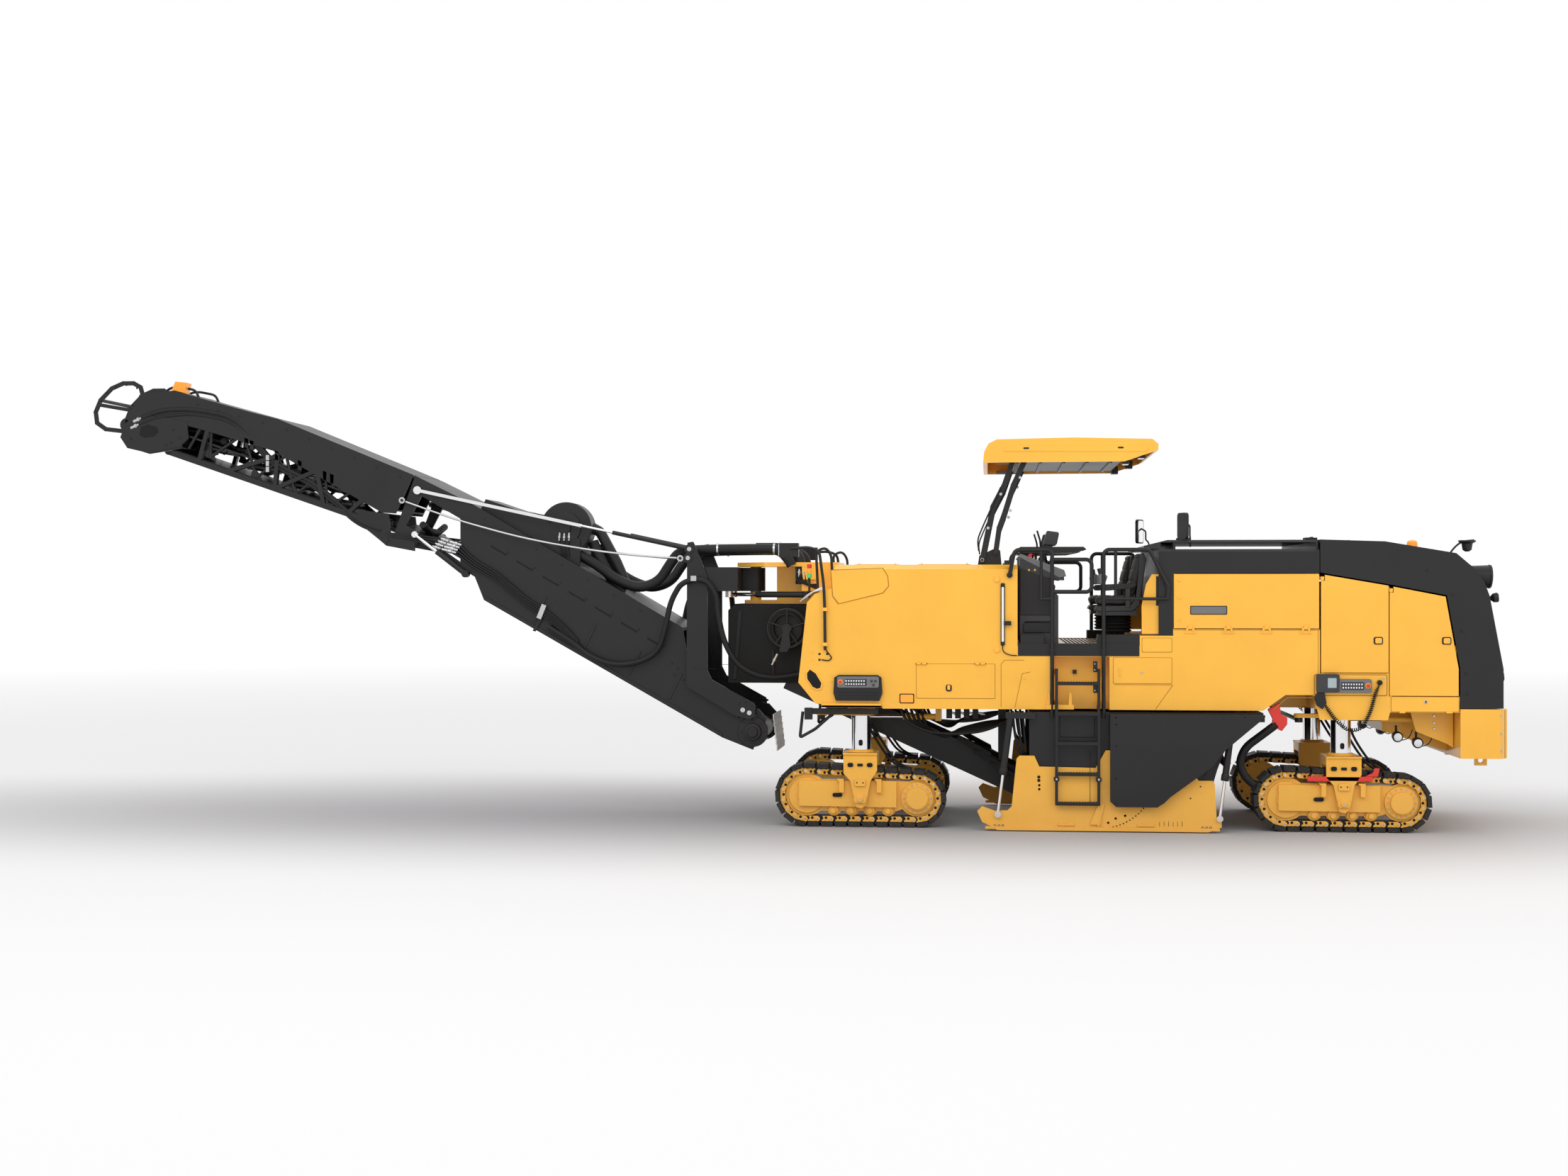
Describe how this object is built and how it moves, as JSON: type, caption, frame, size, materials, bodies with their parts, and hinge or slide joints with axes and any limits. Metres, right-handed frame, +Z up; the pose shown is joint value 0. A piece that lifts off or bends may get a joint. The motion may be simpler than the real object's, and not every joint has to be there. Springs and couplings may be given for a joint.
{
  "type": "crawler cold planer",
  "caption": "Half-lane cold planer on four tracks with a milling drum, a folding discharge conveyor, a canopy over the operators and golden-yellow and black bodywork.",
  "frame": {"origin": "centre of the bounding box, on the ground", "axes": "+X to the machine's rear, +Y to its right side, +Z up; the discharge conveyor reaches to -X"},
  "size_m": [15.06, 2.79, 4.77],
  "materials": {
    "bare_steel": "polished rod steel",
    "black_paint": "satin black powder coat",
    "black_rubber": "moulded black rubber",
    "cast_metal": "painted casting",
    "drum_steel": "bare machined steel",
    "golden_paint": "semi-gloss golden yellow enamel",
    "grey_plastic": "matt dark grey moulding",
    "seat_vinyl": "black vinyl",
    "track_steel": "dark forged steel, worn at the edges"
  },
  "bodies": {
    "chassis": {"main_frame": "golden_paint", "front_body": "golden_paint", "conveyor_head": "golden_paint", "hopper": "black_rubber", "pickup_conveyor": "black_paint", "drum_housing": "black_paint", "platform": "golden_paint", "console": "grey_plastic", "handrails": "black_paint", "canopy_base": "black_paint", "rear_body": "golden_paint", "engine_block": "cast_metal", "top_cover": "black_paint"},
    "leg_front_left": {"leg_front_left": "golden_paint", "track_front_left": "track_steel"},
    "leg_front_right": {"leg_front_right": "golden_paint", "track_front_right": "track_steel"},
    "tie_front": {"tie_rod_front": "bare_steel"},
    "steer_cylinder_front": {"steer_rod_front": "bare_steel"},
    "leg_rear_left": {"leg_rear_left": "golden_paint", "track_rear_left": "track_steel"},
    "leg_rear_right": {"leg_rear_right": "golden_paint", "track_rear_right": "track_steel"},
    "tie_rear": {"tie_rod_rear": "bare_steel"},
    "steer_cylinder_rear": {"steer_rod_rear": "bare_steel"},
    "drum": {"drum": "drum_steel"},
    "moldboard": {"moldboard": "drum_steel"},
    "side_plate_left": {"side_plate_left": "golden_paint"},
    "side_rods_left": {"side_rods_left": "bare_steel"},
    "side_plate_right": {"side_plate_right": "golden_paint"},
    "side_rods_right": {"side_rods_right": "bare_steel"},
    "swing": {"swing_frame": "black_paint"},
    "swing_barrel_left": {"swing_barrel_left": "black_paint"},
    "swing_rod_left": {"swing_rod_left": "bare_steel"},
    "swing_barrel_right": {"swing_barrel_right": "black_paint"},
    "swing_rod_right": {"swing_rod_right": "bare_steel"},
    "conveyor": {"conveyor_lower": "black_paint", "blower": "black_paint"},
    "lift_barrel": {"lift_barrel": "black_paint"},
    "lift_rod": {"lift_rod": "bare_steel"},
    "conveyor_tip": {"conveyor_upper": "black_paint"},
    "fold_rod": {"fold_rod": "bare_steel"},
    "canopy_front": {"canopy_front_arms": "black_paint"},
    "canopy_rear": {"canopy_rear_arms": "black_paint"},
    "canopy": {"canopy_roof": "golden_paint"},
    "hood": {"hood": "black_paint"},
    "door_front_left": {"door_front_left": "golden_paint"},
    "door_rear_left": {"door_rear_left": "golden_paint"},
    "side_lid_left": {"side_lid_left": "golden_paint"},
    "seat_left": {"seat_left": "seat_vinyl"},
    "door_front_right": {"door_front_right": "golden_paint"},
    "door_rear_right": {"door_rear_right": "golden_paint"},
    "side_lid_right": {"side_lid_right": "golden_paint"},
    "seat_right": {"seat_right": "seat_vinyl"}
  },
  "joints": [
    {"name": "steer_front_left", "type": "hinge", "parent": "chassis", "child": "leg_front_left", "pos_m": [1.013, -0.95, 1.4], "axis": [0, 0, 1], "range_deg": [-20, 20]},
    {"name": "steer_front_right", "type": "hinge", "parent": "chassis", "child": "leg_front_right", "pos_m": [1.013, 0.95, 1.4], "axis": [0, 0, 1], "range_deg": [-20, 20]},
    {"name": "tie_front_pin", "type": "hinge", "parent": "leg_front_left", "child": "tie_front", "pos_m": [0.593, -0.95, 1.131], "axis": [0, 0, 1], "range_deg": [-20, 20]},
    {"name": "steer_cylinder_front_stroke", "type": "slide", "parent": "chassis", "child": "steer_cylinder_front", "axis": [1, 0, 0], "range_m": [-0.056, 0.056]},
    {"name": "steer_rear_left", "type": "hinge", "parent": "chassis", "child": "leg_rear_left", "pos_m": [5.913, -0.95, 1.4], "axis": [0, 0, 1], "range_deg": [-20, 20]},
    {"name": "steer_rear_right", "type": "hinge", "parent": "chassis", "child": "leg_rear_right", "pos_m": [5.913, 0.95, 1.4], "axis": [0, 0, 1], "range_deg": [-20, 20]},
    {"name": "tie_rear_pin", "type": "hinge", "parent": "leg_rear_left", "child": "tie_rear", "pos_m": [5.493, -0.95, 1.131], "axis": [0, 0, 1], "range_deg": [-20, 20]},
    {"name": "steer_cylinder_rear_stroke", "type": "slide", "parent": "chassis", "child": "steer_cylinder_rear", "axis": [1, 0, 0], "range_m": [-0.056, 0.056]},
    {"name": "drum_spin", "type": "hinge", "parent": "chassis", "child": "drum", "pos_m": [3.45, 0, 0.56], "axis": [0, 1, 0], "continuous": true},
    {"name": "moldboard_lift", "type": "slide", "parent": "chassis", "child": "moldboard", "axis": [0, 0, 1], "range_m": [0, 0.2]},
    {"name": "side_plate_left_lift", "type": "slide", "parent": "chassis", "child": "side_plate_left", "axis": [0, 0, 1], "range_m": [0, 0.25]},
    {"name": "side_rods_left_stroke", "type": "slide", "parent": "chassis", "child": "side_rods_left", "axis": [0.125, 0, 0.9922], "range_m": [0, 0.2525]},
    {"name": "side_plate_right_lift", "type": "slide", "parent": "chassis", "child": "side_plate_right", "axis": [0, 0, 1], "range_m": [0, 0.25]},
    {"name": "side_rods_right_stroke", "type": "slide", "parent": "chassis", "child": "side_rods_right", "axis": [0.125, 0, 0.9922], "range_m": [0, 0.2525]},
    {"name": "conveyor_swing", "type": "hinge", "parent": "chassis", "child": "swing", "pos_m": [-0.2, 0, 2.5], "axis": [0, 0, 1], "range_deg": [-60, 60]},
    {"name": "swing_barrel_left_pin", "type": "hinge", "parent": "chassis", "child": "swing_barrel_left", "pos_m": [0.4, -0.52, 2.41], "axis": [0, 0, 1], "range_deg": [-10, 10]},
    {"name": "swing_rod_left_stroke", "type": "slide", "parent": "swing_barrel_left", "child": "swing_rod_left", "axis": [-0.9385, 0.3452, 0], "range_m": [-0.275, 0.275]},
    {"name": "swing_barrel_right_pin", "type": "hinge", "parent": "chassis", "child": "swing_barrel_right", "pos_m": [0.4, 0.52, 2.41], "axis": [0, 0, 1], "range_deg": [-10, 10]},
    {"name": "swing_rod_right_stroke", "type": "slide", "parent": "swing_barrel_right", "child": "swing_rod_right", "axis": [-0.9385, -0.3452, 0], "range_m": [-0.275, 0.275]},
    {"name": "conveyor_lift", "type": "hinge", "parent": "swing", "child": "conveyor", "pos_m": [-0.2, 0, 1.15], "axis": [0, 1, 0], "range_deg": [-15, 12]},
    {"name": "lift_barrel_pin", "type": "hinge", "parent": "swing", "child": "lift_barrel", "pos_m": [-0.845, 0, 2.895], "axis": [0, 1, 0], "range_deg": [-20, 16]},
    {"name": "lift_rod_stroke", "type": "slide", "parent": "lift_barrel", "child": "lift_rod", "axis": [-0.9774, 0, 0.2112], "range_m": [-0.335, 0.416]},
    {"name": "conveyor_fold", "type": "hinge", "parent": "conveyor", "child": "conveyor_tip", "pos_m": [-4.18, 0, 3], "axis": [0, -1, 0], "range_deg": [0, 150]},
    {"name": "fold_rod_stroke", "type": "slide", "parent": "conveyor", "child": "fold_rod", "axis": [-0.7945, 0, 0.6072], "range_m": [0, 0.262]},
    {"name": "canopy_fold", "type": "hinge", "parent": "chassis", "child": "canopy_front", "pos_m": [2.27, 0, 2.77], "axis": [0, -1, 0], "range_deg": [0, 85]},
    {"name": "canopy_rear_pin", "type": "hinge", "parent": "chassis", "child": "canopy_rear", "pos_m": [2.41, 0, 2.85], "axis": [0, -1, 0], "range_deg": [0, 85]},
    {"name": "canopy_level", "type": "hinge", "parent": "canopy_front", "child": "canopy", "pos_m": [2.6, 0, 3.84], "axis": [0, -1, 0], "range_deg": [-85, 0]},
    {"name": "hood_open", "type": "hinge", "parent": "chassis", "child": "hood", "pos_m": [5.66, 0, 2.992], "axis": [0, -1, 0], "range_deg": [0, 45]},
    {"name": "door_front_left_open", "type": "hinge", "parent": "chassis", "child": "door_front_left", "pos_m": [5.687, -1.235, 2], "axis": [0, 0, -1], "range_deg": [0, 90]},
    {"name": "door_rear_left_open", "type": "hinge", "parent": "chassis", "child": "door_rear_left", "pos_m": [6.363, -1.235, 2], "axis": [0, 0, -1], "range_deg": [0, 90]},
    {"name": "side_lid_left_open", "type": "hinge", "parent": "chassis", "child": "side_lid_left", "pos_m": [4.93, -1.26, 2.068], "axis": [1, 0, 0], "range_deg": [0, 110]},
    {"name": "seat_left_swivel", "type": "hinge", "parent": "chassis", "child": "seat_left", "pos_m": [3.69, -0.75, 2], "axis": [0, 0, 1], "range_deg": [-30, 30]},
    {"name": "door_front_right_open", "type": "hinge", "parent": "chassis", "child": "door_front_right", "pos_m": [5.687, 1.235, 2], "axis": [0, 0, 1], "range_deg": [0, 90]},
    {"name": "door_rear_right_open", "type": "hinge", "parent": "chassis", "child": "door_rear_right", "pos_m": [6.363, 1.235, 2], "axis": [0, 0, 1], "range_deg": [0, 90]},
    {"name": "side_lid_right_open", "type": "hinge", "parent": "chassis", "child": "side_lid_right", "pos_m": [4.93, 1.26, 2.068], "axis": [-1, 0, 0], "range_deg": [0, 110]},
    {"name": "seat_right_swivel", "type": "hinge", "parent": "chassis", "child": "seat_right", "pos_m": [3.69, 0.75, 2], "axis": [0, 0, 1], "range_deg": [-30, 30]}
  ],
  "couplings": [
    {"joint": "steer_front_right", "follows": "steer_front_left", "ratio": 1},
    {"joint": "tie_front_pin", "follows": "steer_front_left", "ratio": -1},
    {"joint": "steer_cylinder_front_stroke", "follows": "steer_front_left", "m_per_rad": -0.16},
    {"joint": "steer_rear_right", "follows": "steer_rear_left", "ratio": 1},
    {"joint": "tie_rear_pin", "follows": "steer_rear_left", "ratio": -1},
    {"joint": "steer_cylinder_rear_stroke", "follows": "steer_rear_left", "m_per_rad": -0.16},
    {"joint": "side_rods_left_stroke", "follows": "side_plate_left_lift", "ratio": 1.0079},
    {"joint": "side_rods_right_stroke", "follows": "side_plate_right_lift", "ratio": 1.0079},
    {"joint": "swing_barrel_left_pin", "follows": "conveyor_swing", "ratio": 0.165},
    {"joint": "swing_rod_left_stroke", "follows": "conveyor_swing", "m_per_rad": -0.262},
    {"joint": "swing_barrel_right_pin", "follows": "conveyor_swing", "ratio": 0.165},
    {"joint": "swing_rod_right_stroke", "follows": "conveyor_swing", "m_per_rad": 0.262},
    {"joint": "lift_barrel_pin", "follows": "conveyor_lift", "ratio": 1.31},
    {"joint": "lift_rod_stroke", "follows": "conveyor_lift", "m_per_rad": -1.58},
    {"joint": "fold_rod_stroke", "follows": "conveyor_fold", "m_per_rad": 0.1},
    {"joint": "canopy_rear_pin", "follows": "canopy_fold", "ratio": 1},
    {"joint": "canopy_level", "follows": "canopy_fold", "ratio": -1}
  ]
}
